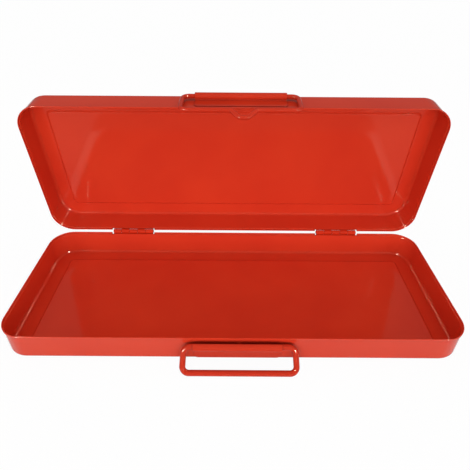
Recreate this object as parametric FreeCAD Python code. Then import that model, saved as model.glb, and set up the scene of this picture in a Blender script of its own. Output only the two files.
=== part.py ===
import FreeCAD, Part
import math
import os

# Two-tray pressed steel carrying case, standing open with its lid up.
# Millimetres. X runs along the case, Y from the front wall to the hinge, Z up.
# The origin is under the middle of the base, on the face that it stands on.

# Trays: both are the same pressing with a different wall height.
CASE_LENGTH = 450.0
CASE_DEPTH = 167.2
BASE_WALL_HEIGHT = 31.0
LID_WALL_HEIGHT = 32.0
SHEET = 0.8
RIM_CORNER_RADIUS = 24.4
BEND_RADIUS = 4.0
RIM_STEP_OUT = 0.9
RIM_BAND_HEIGHT = 2.2
RIM_JOGGLE_HEIGHT = 0.8
PANEL_BORDER = 18.4
PANEL_SLOPE_WIDTH = 3.0
PANEL_RISE = 1.6
PANEL_CORNER_RADIUS = 6.0
RIM_GAP = 0.6
OVERRUN = 5.0

# Hinges: two five-knuckle hinges in notches of both rear rims.
HINGE_SPACING = 257.2
HINGE_OFF_CENTRE = 1.8
HINGE_LENGTH = 50.0
HINGE_KNUCKLES = 5
KNUCKLE_GAP = 0.3
LEAF_SHEET = 1.0
LEAF_HEIGHT = 18.0
LEAF_CORNER_RADIUS = 3.0
PIN_DIAMETER = 3.0
PIN_CLEARANCE = 0.05
PIN_OVERHANG = 0.5
NOTCH_DEPTH = 2.0
NOTCH_END_CLEARANCE = 1.5
LEAF_RELIEF = 0.2
CURL_WRAP_ANGLE = 300.0
LID_OPEN_ANGLE = 83.3

# Brackets: folded sheet, a plate welded to the front wall with a curl along its top.
BRACKET_SHEET = 1.2
WIRE_CLEARANCE = 0.25
BASE_BRACKET_LENGTH = 83.4
BASE_BRACKET_OFF_CENTRE = 4.5
BASE_CURL_DROP = 8.0
BASE_PLATE_END_LIFT = 3.6
BASE_PLATE_CORNER = 3.5
LID_BRACKET_LENGTH = 95.2
LID_BRACKET_OFF_CENTRE = 7.0
LID_CURL_RISE = 20.5
LID_PLATE_JOGGLE_GAP = 0.4
LID_PLATE_CORNER = 4.0
BRACKET_BEND_RADIUS = 1.0
BRACKET_SEAM_ANGLE = 90.0

# Wire loops: the carrying handle on the base and the catch bail on the lid.
LOOPS_OFF_CENTRE = 6.5
HANDLE_WIRE = 5.8
HANDLE_ARM = 24.4
HANDLE_SHOULDER_WIDTH = 104.6
HANDLE_BAR_WIDTH = 107.8
HANDLE_SHOULDER_RADIUS = 7.0
HANDLE_CORNER_RADIUS = 6.0
BAIL_WIRE = 4.8
BAIL_ARM = 34.2
BAIL_WIDTH = 119.4
BAIL_SHOULDER_RADIUS = 7.0
BAIL_CORNER_RADIUS = 6.5
BAIL_REST_ANGLE = 2.5
BAIL_NOSE_LENGTH = 9.2
BAIL_NOSE_TILT = 27.5
BAIL_NOSE_ROOT_WIDTH = 26.0
BAIL_NOSE_TIP_WIDTH = 8.0
BAIL_NOSE_BEND_RADIUS = 3.2
BAIL_NOSE_OFF_CENTRE = 3.2
WIRE_END_GAP = 4.0

X_AXIS = FreeCAD.Vector(1, 0, 0)
Y_AXIS = FreeCAD.Vector(0, 1, 0)
Z_AXIS = FreeCAD.Vector(0, 0, 1)
ORIGIN = FreeCAD.Vector(0, 0, 0)

# Places that several pieces share, all worked out from the values above.
LID_RIM_Z = BASE_WALL_HEIGHT + RIM_GAP
WALL_FRONT_Y = -CASE_DEPTH / 2 + RIM_STEP_OUT
WALL_BACK_Y = CASE_DEPTH / 2 - RIM_STEP_OUT
KNUCKLE_RADIUS = PIN_DIAMETER / 2 + PIN_CLEARANCE + LEAF_SHEET
HINGE_Y = WALL_BACK_Y + KNUCKLE_RADIUS
HINGE_Z = BASE_WALL_HEIGHT + RIM_GAP / 2
HINGE_AXIS_POINT = FreeCAD.Vector(0, HINGE_Y, HINGE_Z)
HANDLE_CURL_INNER = HANDLE_WIRE / 2 + WIRE_CLEARANCE
HANDLE_CURL_OUTER = HANDLE_CURL_INNER + BRACKET_SHEET
HANDLE_Y = WALL_FRONT_Y - HANDLE_CURL_OUTER
HANDLE_Z = BASE_WALL_HEIGHT - BASE_CURL_DROP
HANDLE_REST_ANGLE = math.degrees(math.acos((HANDLE_Z - HANDLE_WIRE / 2) / HANDLE_ARM))
BAIL_CURL_INNER = BAIL_WIRE / 2 + WIRE_CLEARANCE
BAIL_CURL_OUTER = BAIL_CURL_INNER + BRACKET_SHEET
BAIL_Y = WALL_FRONT_Y - BAIL_CURL_OUTER
BAIL_Z = LID_RIM_Z + LID_CURL_RISE


def rounded_rectangle(inset, corner, z):
    """Closed outline with round corners, inset from the rim's outer edge, at height z."""
    half_x = CASE_LENGTH / 2 - inset
    half_y = CASE_DEPTH / 2 - inset
    arc_share = math.sqrt(0.5)
    edges = []
    corners = [(1, 1), (-1, 1), (-1, -1), (1, -1)]
    ends = []
    for sx, sy in corners:
        centre = FreeCAD.Vector(sx * (half_x - corner), sy * (half_y - corner), z)
        on_x = centre + FreeCAD.Vector(sx * corner, 0, 0)
        on_y = centre + FreeCAD.Vector(0, sy * corner, 0)
        middle = centre + FreeCAD.Vector(sx * corner * arc_share, sy * corner * arc_share, 0)
        start, end = (on_x, on_y) if sx * sy > 0 else (on_y, on_x)
        ends.append((start, end))
        edges.append(Part.Arc(start, middle, end).toShape())
    count = len(corners)
    outline = []
    for index in range(count):
        outline.append(edges[index])
        outline.append(Part.makeLine(ends[index][1], ends[(index + 1) % count][0]))
    return Part.Wire(outline)


def slab(inset, corner, z_low, z_high):
    """Upright block with the plan of rounded_rectangle."""
    face = Part.Face(rounded_rectangle(inset, corner, z_low))
    return face.extrude(FreeCAD.Vector(0, 0, z_high - z_low))


def taper(low, high):
    """Block between two outlines, each given as inset, corner and height."""
    return Part.makeLoft([rounded_rectangle(*low), rounded_rectangle(*high)], True, True)


def round_edges_at(shape, z, radius):
    """Round the edges of shape that lie flat at height z."""
    chosen = []
    for edge in shape.Edges:
        box = edge.BoundBox
        if abs(box.ZMin - z) < SHEET / 10 and abs(box.ZMax - z) < SHEET / 10:
            chosen.append(edge)
    return shape.makeFillet(radius, chosen)


def tray_skin(wall_height, offset, top_extra):
    """Solid inside one skin of the tray: offset zero is the outer skin, SHEET the inner one."""
    wall_inset = RIM_STEP_OUT + offset
    band_z = wall_height - RIM_BAND_HEIGHT
    joggle_z = band_z - RIM_JOGGLE_HEIGHT
    wall_corner = RIM_CORNER_RADIUS - wall_inset
    rim_corner = RIM_CORNER_RADIUS - offset
    wall = slab(wall_inset, wall_corner, offset, joggle_z)
    wall = round_edges_at(wall, offset, BEND_RADIUS - offset)
    joggle = taper((wall_inset, wall_corner, joggle_z), (offset, rim_corner, band_z))
    band = slab(offset, rim_corner, band_z, wall_height + top_extra)
    panel_inset = PANEL_BORDER + PANEL_SLOPE_WIDTH
    panel_corner = PANEL_CORNER_RADIUS - PANEL_SLOPE_WIDTH
    panel_z = PANEL_RISE + offset
    panel = taper((PANEL_BORDER, PANEL_CORNER_RADIUS, offset), (panel_inset, panel_corner, panel_z))
    return wall.fuse([joggle, band]).cut(panel).removeSplitter()


def pressed_tray(wall_height):
    """Tray of sheet steel, rim up: drawn walls, a stepped-out rim and a panel pressed a little inwards."""
    outer = tray_skin(wall_height, 0, 0)
    inner = tray_skin(wall_height, SHEET, OVERRUN)
    return outer.cut(inner)


def turned(shape, point, degrees):
    """Copy of shape turned about an axis along X through point."""
    copy = shape.copy()
    copy.rotate(point, X_AXIS, degrees)
    return copy


def box_between(low, high):
    """Box from its low corner to its high corner."""
    size = high - low
    return Part.makeBox(size.x, size.y, size.z, low)


def hinge_centres():
    """X of the middle of each hinge, left first."""
    return [HINGE_OFF_CENTRE - HINGE_SPACING / 2, HINGE_OFF_CENTRE + HINGE_SPACING / 2]


def rear_box(centre, front_y, back_y, z_one, z_other):
    """Box along one hinge's notch, between two depths and two heights."""
    half = HINGE_LENGTH / 2 + NOTCH_END_CLEARANCE
    low = FreeCAD.Vector(centre - half, front_y, min(z_one, z_other))
    high = FreeCAD.Vector(centre + half, back_y, max(z_one, z_other))
    return box_between(low, high)


def notched(tray, rim_z, side):
    """Tray with its rear rim notched for the knuckles, side 1 for the base and -1 for the lid.

    The rim's step is left out along the notch: the wall runs straight up to the notch's floor.
    """
    band_z = rim_z - side * (RIM_BAND_HEIGHT + RIM_JOGGLE_HEIGHT)
    notch_z = rim_z - side * NOTCH_DEPTH
    beyond_z = rim_z + side * OVERRUN
    wall_inner_y = WALL_BACK_Y - SHEET
    for centre in hinge_centres():
        tray = tray.cut(rear_box(centre, wall_inner_y - SHEET, CASE_DEPTH / 2 + OVERRUN, band_z, beyond_z))
        tray = tray.fuse(rear_box(centre, wall_inner_y, WALL_BACK_Y, band_z, notch_z))
    return tray.removeSplitter()


def base_tray():
    return notched(pressed_tray(BASE_WALL_HEIGHT), BASE_WALL_HEIGHT, 1)


def lid_tray():
    tray = pressed_tray(LID_WALL_HEIGHT)
    tray.rotate(ORIGIN, X_AXIS, 180)
    tray.translate(FreeCAD.Vector(0, 0, LID_RIM_Z + LID_WALL_HEIGHT))
    return notched(tray, LID_RIM_Z, -1)


def curled_plate(length, plate_height, sheet, curl_inner, corner):
    """Flat plate below Z zero with its top edge curled forwards round the X axis.

    The back of the plate is the plane that touches the curl from behind.
    """
    curl_outer = curl_inner + sheet
    wrap = math.radians(CURL_WRAP_ANGLE)
    half_wrap = wrap / 2

    def on_curl(radius, angle):
        return FreeCAD.Vector(-length / 2, radius * math.cos(angle), radius * math.sin(angle))

    outer_arc = Part.Arc(on_curl(curl_outer, 0), on_curl(curl_outer, half_wrap), on_curl(curl_outer, wrap))
    inner_arc = Part.Arc(on_curl(curl_inner, wrap), on_curl(curl_inner, half_wrap), on_curl(curl_inner, 0))
    low_inner = FreeCAD.Vector(-length / 2, curl_inner, -plate_height)
    low_outer = FreeCAD.Vector(-length / 2, curl_outer, -plate_height)
    edges = [
        outer_arc.toShape(),
        Part.makeLine(on_curl(curl_outer, wrap), on_curl(curl_inner, wrap)),
        inner_arc.toShape(),
        Part.makeLine(on_curl(curl_inner, 0), low_inner),
        Part.makeLine(low_inner, low_outer),
        Part.makeLine(low_outer, on_curl(curl_outer, 0)),
    ]
    section = Part.Face(Part.Wire(edges))
    piece = section.extrude(FreeCAD.Vector(length, 0, 0))
    return round_end_corners(piece, plate_height, sheet, corner)


def wrapped_plate(length, plate_height, sheet, curl_inner, corner):
    """Flat plate below Z zero that bends forwards and wraps the X axis from underneath.

    The sheet goes round the front and the top, and its end leaves a seam towards the wall behind.
    """
    curl_outer = curl_inner + sheet
    curl_middle = curl_inner + sheet / 2
    bend_middle = BRACKET_BEND_RADIUS + sheet / 2
    bend_y = curl_middle - bend_middle
    bend_z = -2 * math.sqrt(curl_middle * bend_middle)
    turn = math.acos((bend_middle - curl_middle) / (bend_middle + curl_middle))
    start = math.pi + turn
    seam = math.radians(BRACKET_SEAM_ANGLE)

    def around(centre_y, centre_z, radius, angle):
        return FreeCAD.Vector(-length / 2, centre_y + radius * math.cos(angle), centre_z + radius * math.sin(angle))

    def arc(centre_y, centre_z, radius, first, last):
        points = [around(centre_y, centre_z, radius, angle) for angle in (first, (first + last) / 2, last)]
        return Part.Arc(*points).toShape()

    low_inner = FreeCAD.Vector(-length / 2, curl_inner, -plate_height)
    low_outer = FreeCAD.Vector(-length / 2, curl_outer, -plate_height)
    edges = [
        Part.makeLine(low_inner, around(bend_y, bend_z, BRACKET_BEND_RADIUS, 0)),
        arc(bend_y, bend_z, BRACKET_BEND_RADIUS, 0, turn),
        arc(0, 0, curl_outer, start, seam),
        Part.makeLine(around(0, 0, curl_outer, seam), around(0, 0, curl_inner, seam)),
        arc(0, 0, curl_inner, seam, start),
        arc(bend_y, bend_z, BRACKET_BEND_RADIUS + sheet, turn, 0),
        Part.makeLine(around(bend_y, bend_z, BRACKET_BEND_RADIUS + sheet, 0), low_outer),
        Part.makeLine(low_outer, low_inner),
    ]
    section = Part.Face(Part.Wire(edges))
    piece = section.extrude(FreeCAD.Vector(length, 0, 0))
    return round_end_corners(piece, plate_height, sheet, corner)


def round_end_corners(piece, plate_height, sheet, corner):
    """Rounds the two corners at the plate's far end."""
    chosen = []
    for edge in piece.Edges:
        box = edge.BoundBox
        across = box.YLength > sheet / 2 and box.XLength < sheet / 2
        if across and box.ZMax < -plate_height + sheet / 2:
            chosen.append(edge)
    return piece.makeFillet(corner, chosen)


def bracket(length, off_centre, axis_y, axis_z, plate_end_z, curl_inner, corner):
    """Curled bracket on the front wall with its curl round the given axis."""
    piece = wrapped_plate(length, axis_z - plate_end_z, BRACKET_SHEET, curl_inner, corner)
    piece.translate(FreeCAD.Vector(off_centre, axis_y, axis_z))
    return piece


def base_bracket():
    return bracket(BASE_BRACKET_LENGTH, BASE_BRACKET_OFF_CENTRE, HANDLE_Y, HANDLE_Z, BASE_PLATE_END_LIFT,
                   HANDLE_CURL_INNER, BASE_PLATE_CORNER)


def lid_bracket():
    plate_end_z = LID_RIM_Z + RIM_BAND_HEIGHT + RIM_JOGGLE_HEIGHT + LID_PLATE_JOGGLE_GAP
    return bracket(LID_BRACKET_LENGTH, LID_BRACKET_OFF_CENTRE, BAIL_Y, BAIL_Z, plate_end_z,
                   BAIL_CURL_INNER, LID_PLATE_CORNER)


def knuckle_spans():
    """Start and end of each knuckle along a hinge, from its middle."""
    pitch = (HINGE_LENGTH + KNUCKLE_GAP) / HINGE_KNUCKLES
    spans = []
    for index in range(HINGE_KNUCKLES):
        start = -HINGE_LENGTH / 2 + index * pitch
        spans.append((start, start + pitch - KNUCKLE_GAP))
    return spans


def hinge_leaf(own_parity):
    """Leaf with knuckles on every second place, plate down, wall side towards minus Y."""
    curl_inner = PIN_DIAMETER / 2 + PIN_CLEARANCE
    leaf = curled_plate(HINGE_LENGTH, LEAF_HEIGHT, LEAF_SHEET, curl_inner, LEAF_CORNER_RADIUS)
    leaf.rotate(ORIGIN, Z_AXIS, 180)
    reach = KNUCKLE_RADIUS + LEAF_RELIEF
    for index, (start, end) in enumerate(knuckle_spans()):
        if index % 2 == own_parity:
            continue
        first = -HINGE_LENGTH / 2 - OVERRUN if index == 0 else start - KNUCKLE_GAP
        last = HINGE_LENGTH / 2 + OVERRUN if index == HINGE_KNUCKLES - 1 else end + KNUCKLE_GAP
        leaf = leaf.cut(Part.makeCylinder(reach, last - first, FreeCAD.Vector(first, 0, 0), X_AXIS))
    return leaf


def hinge_base_leaf(centre):
    leaf = hinge_leaf(0)
    leaf.translate(FreeCAD.Vector(centre, HINGE_Y, HINGE_Z))
    return leaf


def hinge_lid_leaf(centre):
    leaf = hinge_leaf(1)
    leaf.rotate(ORIGIN, X_AXIS, 180)
    leaf.rotate(ORIGIN, Z_AXIS, 180)
    leaf.translate(FreeCAD.Vector(centre, HINGE_Y, HINGE_Z))
    return leaf


def hinge_pin(centre):
    length = HINGE_LENGTH + 2 * PIN_OVERHANG
    start = FreeCAD.Vector(centre - length / 2, HINGE_Y, HINGE_Z)
    pin = Part.makeCylinder(PIN_DIAMETER / 2, length, start, X_AXIS)
    return pin.makeChamfer(PIN_OVERHANG / 2, [edge for edge in pin.Edges if edge.BoundBox.XLength < SHEET])


def rounded_path(points, radii):
    """Open wire through points, its inner corners rounded by radii."""
    edges = []
    start = points[0]
    for index in range(1, len(points) - 1):
        corner = points[index]
        back = (points[index - 1] - corner).normalize()
        ahead = (points[index + 1] - corner).normalize()
        half_angle = back.getAngle(ahead) / 2
        radius = radii[index - 1]
        setback = radius / math.tan(half_angle)
        arc_start = corner + back * setback
        arc_end = corner + ahead * setback
        bisector = (back + ahead).normalize()
        arc_middle = corner + bisector * (radius / math.sin(half_angle) - radius)
        edges.append(Part.makeLine(start, arc_start))
        edges.append(Part.Arc(arc_start, arc_middle, arc_end).toShape())
        start = arc_end
    edges.append(Part.makeLine(start, points[-1]))
    return Part.Wire(edges)


def round_wire(points, radii, diameter):
    """Round steel wire bent along points."""
    path = rounded_path(points, radii)
    heading = points[1] - points[0]
    section = Part.Wire(Part.makeCircle(diameter / 2, points[0], heading))
    return path.makePipeShell([section], True, False)


def carry_handle():
    """Handle loop: two ends inside the curl, splayed arms and a straight bar."""
    shoulder = HANDLE_SHOULDER_WIDTH / 2
    bar = HANDLE_BAR_WIDTH / 2
    end = WIRE_END_GAP / 2
    points = [
        FreeCAD.Vector(-end, 0, 0),
        FreeCAD.Vector(-shoulder, 0, 0),
        FreeCAD.Vector(-bar, 0, -HANDLE_ARM),
        FreeCAD.Vector(bar, 0, -HANDLE_ARM),
        FreeCAD.Vector(shoulder, 0, 0),
        FreeCAD.Vector(end, 0, 0),
    ]
    radii = [HANDLE_SHOULDER_RADIUS, HANDLE_CORNER_RADIUS, HANDLE_CORNER_RADIUS, HANDLE_SHOULDER_RADIUS]
    loop = round_wire(points, radii, HANDLE_WIRE)
    loop.rotate(ORIGIN, X_AXIS, -HANDLE_REST_ANGLE)
    loop.translate(FreeCAD.Vector(LOOPS_OFF_CENTRE, HANDLE_Y, HANDLE_Z))
    return loop


def latch_bail():
    """Bail loop with a nose bent down and inwards from the middle of its bar."""
    half = BAIL_WIDTH / 2
    end = WIRE_END_GAP / 2
    root = BAIL_NOSE_ROOT_WIDTH / 2
    tip = BAIL_NOSE_TIP_WIDTH / 2
    nose_x = BAIL_NOSE_OFF_CENTRE
    nose_in = BAIL_NOSE_LENGTH * math.sin(math.radians(BAIL_NOSE_TILT))
    nose_down = BAIL_NOSE_LENGTH * math.cos(math.radians(BAIL_NOSE_TILT))
    points = [
        FreeCAD.Vector(-end, 0, 0),
        FreeCAD.Vector(-half, 0, 0),
        FreeCAD.Vector(-half, 0, -BAIL_ARM),
        FreeCAD.Vector(nose_x - root, 0, -BAIL_ARM),
        FreeCAD.Vector(nose_x - tip, nose_in, -BAIL_ARM - nose_down),
        FreeCAD.Vector(nose_x + tip, nose_in, -BAIL_ARM - nose_down),
        FreeCAD.Vector(nose_x + root, 0, -BAIL_ARM),
        FreeCAD.Vector(half, 0, -BAIL_ARM),
        FreeCAD.Vector(half, 0, 0),
        FreeCAD.Vector(end, 0, 0),
    ]
    nose_radii = [BAIL_NOSE_BEND_RADIUS] * 4
    radii = [BAIL_SHOULDER_RADIUS, BAIL_CORNER_RADIUS] + nose_radii + [BAIL_CORNER_RADIUS, BAIL_SHOULDER_RADIUS]
    loop = round_wire(points, radii, BAIL_WIRE)
    loop.rotate(ORIGIN, X_AXIS, -BAIL_REST_ANGLE)
    loop.translate(FreeCAD.Vector(LOOPS_OFF_CENTRE, BAIL_Y, BAIL_Z))
    return loop


def opened(shape):
    """Piece of the lid, modelled shut, turned up to the open rest pose."""
    return turned(shape, HINGE_AXIS_POINT, -LID_OPEN_ANGLE)


def main():
    left, right = hinge_centres()
    pieces = {
        "base_tray": base_tray(),
        "base_handle_bracket": base_bracket(),
        "carry_handle": carry_handle(),
        "left_hinge_base_leaf": hinge_base_leaf(left),
        "right_hinge_base_leaf": hinge_base_leaf(right),
        "left_hinge_pin": hinge_pin(left),
        "right_hinge_pin": hinge_pin(right),
        "lid_tray": opened(lid_tray()),
        "lid_bail_bracket": opened(lid_bracket()),
        "latch_bail": opened(latch_bail()),
        "left_hinge_lid_leaf": opened(hinge_lid_leaf(left)),
        "right_hinge_lid_leaf": opened(hinge_lid_leaf(right)),
    }
    os.makedirs("parts", exist_ok=True)
    for name, shape in pieces.items():
        if not shape.isValid() or len(shape.Solids) != 1:
            raise RuntimeError(name + " is not one valid solid")
        shape.Solids[0].exportStep("parts/" + name + ".step")


main()
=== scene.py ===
import math

import bmesh
import bpy
from bpy.props import FloatProperty, FloatVectorProperty, IntProperty, PointerProperty
from mathutils import Matrix, Vector


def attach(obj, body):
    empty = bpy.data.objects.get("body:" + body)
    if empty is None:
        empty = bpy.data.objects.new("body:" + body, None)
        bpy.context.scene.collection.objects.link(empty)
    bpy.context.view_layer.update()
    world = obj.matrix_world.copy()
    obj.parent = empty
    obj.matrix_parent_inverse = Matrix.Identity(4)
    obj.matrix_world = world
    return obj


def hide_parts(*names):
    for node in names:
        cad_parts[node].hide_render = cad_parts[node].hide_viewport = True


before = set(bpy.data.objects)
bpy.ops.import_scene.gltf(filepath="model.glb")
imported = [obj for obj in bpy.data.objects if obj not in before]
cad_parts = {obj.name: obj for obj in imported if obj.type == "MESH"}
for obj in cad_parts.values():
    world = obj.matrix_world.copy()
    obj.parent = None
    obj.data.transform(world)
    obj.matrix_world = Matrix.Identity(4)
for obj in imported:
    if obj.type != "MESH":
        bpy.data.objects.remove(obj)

bl_info = {
    "name": "Pressed Steel Tool Case",
    "version": (1, 0, 0),
    "blender": (4, 5, 0),
    "location": "3D View > Sidebar > Tool Case",
    "description": "Builds a flat two-tray steel case with wire loops, in gloss stove enamel",
    "category": "Add Mesh",
}

MM = 0.001
WHITE = (1, 1, 1, 1)

# How finely round forms are divided.
FACET_SLACK = 0.01 * MM  # keeps the facets inside the space that the true form takes
ARC_STEP_DEGREES = 7.5  # largest step along an arc, small enough that the eye reads it as round
EASE_STEPS = 8  # steps across a panel's slope, and across the step below a rim
HOLLOW_STEPS = 4  # steps up the hollowed top edge of a hinge leaf
WIRE_SIDES = 32
WIRE_BEND_POINTS = 12
PIN_SIDES = 24
PIN_END_ANGLES = (0.5, 1.0)  # radians round the softened end of a pin

# The enamel's patterns, each at the size that it has on the case.
CLOUDS = 70 * MM  # where the coat lies a little thicker and deeper in colour
SMEARS = 25 * MM  # handled places, a little duller than the rest
WAVES = 45 * MM  # slow waves that pressing leaves in the sheet
PEEL = 1.6 * MM  # orange peel, the fine ripple of a stoved coat
PEEL_DEPTH = 0.004 * MM
TRAY_WAVE_DEPTH = 0.05 * MM
STIFF_WAVE_DEPTH = 0.01 * MM  # brackets, wires and hinges are stiffer than the trays' wide sheets
CREVICE_SHADE_REACH = 2.5 * MM  # how near a neighbour has to be for the painted crevice shade to darken the enamel
SMOOTHEST = 0.06  # roughness where the gloss is best
DULLEST = 0.11  # roughness in the smears
NOISE_LOW = 0.3  # nearly all of a noise's values lie between this and the next
NOISE_HIGH = 0.7


def linear(colour):
    """Linear red, green, blue and alpha of an sRGB hex colour."""
    values = [int(colour[index:index + 2], 16) / 255 for index in (1, 3, 5)]
    curved = [value / 12.92 if value <= 0.04045 else ((value + 0.055) / 1.055) ** 2.4 for value in values]
    return (*curved, 1)


class TraySizes(bpy.types.PropertyGroup):
    """Sizes of the two pressed trays."""

    length: FloatProperty(name="Length", description="Length over the rims", default=450 * MM, unit="LENGTH")
    depth: FloatProperty(name="Depth", description="Depth over the rims", default=167.2 * MM, unit="LENGTH")
    base_wall: FloatProperty(name="Base wall", description="Height of the base's walls", default=31 * MM,
                             unit="LENGTH")
    lid_wall: FloatProperty(name="Lid wall", description="Height of the lid's walls", default=32 * MM,
                            unit="LENGTH")
    sheet: FloatProperty(name="Sheet", description="Thickness of the sheet", default=0.8 * MM, unit="LENGTH")
    corner: FloatProperty(name="Corner", description="Corner radius of the rims", default=24.4 * MM,
                          unit="LENGTH")
    bend: FloatProperty(name="Bend", description="Outer radius between wall and floor", default=4 * MM,
                        unit="LENGTH")
    rim_step: FloatProperty(name="Rim step", description="How far the rim stands out of the wall",
                            default=0.9 * MM, unit="LENGTH")
    rim_band: FloatProperty(name="Rim band", description="Height of the stepped-out rim", default=2.2 * MM,
                            unit="LENGTH")
    joggle: FloatProperty(name="Joggle", description="Height of the step below the rim", default=0.8 * MM,
                          unit="LENGTH")
    panel_border: FloatProperty(name="Panel border", description="Distance from rim to pressed panel",
                                default=18.4 * MM, unit="LENGTH")
    panel_slope: FloatProperty(name="Panel slope", description="Width of the slope round the panel",
                               default=3 * MM, unit="LENGTH")
    panel_rise: FloatProperty(name="Panel rise", description="How far the panel is pressed inwards",
                              default=1.6 * MM, unit="LENGTH")
    panel_corner: FloatProperty(name="Panel corner", description="Corner radius of the pressed panel",
                                default=6 * MM, unit="LENGTH")
    rim_gap: FloatProperty(name="Rim gap", description="Gap between the rims when shut", default=0.6 * MM,
                           unit="LENGTH")
    edge: FloatProperty(name="Edge", description="Rounding of the enamelled sheet edge", default=0.3 * MM,
                        unit="LENGTH")
    open_angle: FloatProperty(name="Open angle", description="Angle the lid stands open",
                              default=math.radians(83.3), subtype="ANGLE")


class HingeSizes(bpy.types.PropertyGroup):
    """Sizes of the two knuckle hinges."""

    spacing: FloatProperty(name="Spacing", description="Distance between hinge centres", default=257.2 * MM,
                           unit="LENGTH")
    off_centre: FloatProperty(name="Off centre", description="Shift of the pair to the right",
                              default=1.8 * MM, unit="LENGTH")
    length: FloatProperty(name="Length", description="Length of one hinge", default=50 * MM, unit="LENGTH")
    knuckles: IntProperty(name="Knuckles", description="Knuckles along one hinge", default=5, min=3)
    gap: FloatProperty(name="Gap", description="Gap between knuckles", default=0.3 * MM, unit="LENGTH")
    sheet: FloatProperty(name="Leaf sheet", description="Thickness of a leaf", default=1 * MM, unit="LENGTH")
    leaf: FloatProperty(name="Leaf height", description="Leaf below the pin's axis", default=18 * MM,
                        unit="LENGTH")
    leaf_corner: FloatProperty(name="Leaf corner", description="Corner radius of a leaf", default=3 * MM,
                               unit="LENGTH")
    pin: FloatProperty(name="Pin", description="Diameter of the pin", default=3 * MM, unit="LENGTH")
    play: FloatProperty(name="Play", description="Play between pin and knuckle", default=0.05 * MM,
                        unit="LENGTH")
    overhang: FloatProperty(name="Overhang", description="Pin beyond the last knuckle", default=0.5 * MM,
                            unit="LENGTH")
    relief: FloatProperty(name="Relief", description="Leaf's clearance round the other leaf's knuckles",
                          default=0.2 * MM, unit="LENGTH")
    leaf_edge: FloatProperty(name="Leaf edge", description="Rounding of a leaf's edges",
                             default=0.05 * MM, unit="LENGTH")
    notch_depth: FloatProperty(name="Notch depth", description="Depth of the notch in the rim",
                               default=2 * MM, unit="LENGTH")
    notch_play: FloatProperty(name="Notch play", description="Rim notch beyond the hinge's end",
                              default=1.5 * MM, unit="LENGTH")
    wrap: FloatProperty(name="Wrap", description="How far a knuckle goes round the pin",
                        default=math.radians(300), subtype="ANGLE")


class BracketSizes(bpy.types.PropertyGroup):
    """Sizes of the two curled brackets."""

    sheet: FloatProperty(name="Sheet", description="Thickness of the brackets", default=1.2 * MM,
                         unit="LENGTH")
    play: FloatProperty(name="Play", description="Play between wire and curl", default=0.25 * MM,
                        unit="LENGTH")
    bend: FloatProperty(name="Bend", description="Inner radius of the bend between plate and curl",
                        default=1 * MM, unit="LENGTH")
    seam: FloatProperty(name="Seam", description="Where the curl ends, measured up from the wall's side",
                        default=math.radians(90), subtype="ANGLE")
    base_length: FloatProperty(name="Base length", description="Length of the base bracket",
                               default=83.4 * MM, unit="LENGTH")
    base_off_centre: FloatProperty(name="Base off centre", description="Shift of the base bracket",
                                   default=4.5 * MM, unit="LENGTH")
    base_drop: FloatProperty(name="Base drop", description="Base rim down to the curl's axis",
                             default=8 * MM, unit="LENGTH")
    base_end_lift: FloatProperty(name="Base plate end", description="Plate's end above the table",
                                 default=3.6 * MM, unit="LENGTH")
    base_corner: FloatProperty(name="Base corner", description="Corner radius of the base plate",
                               default=3.5 * MM, unit="LENGTH")
    lid_length: FloatProperty(name="Lid length", description="Length of the lid bracket",
                              default=95.2 * MM, unit="LENGTH")
    lid_off_centre: FloatProperty(name="Lid off centre", description="Shift of the lid bracket",
                                  default=7 * MM, unit="LENGTH")
    lid_rise: FloatProperty(name="Lid rise", description="Lid rim up to the curl's axis",
                            default=20.5 * MM, unit="LENGTH")
    lid_end_gap: FloatProperty(name="Lid plate end", description="Plate's end above the lid's joggle",
                               default=0.4 * MM, unit="LENGTH")
    lid_corner: FloatProperty(name="Lid corner", description="Corner radius of the lid plate",
                              default=4 * MM, unit="LENGTH")


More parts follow.
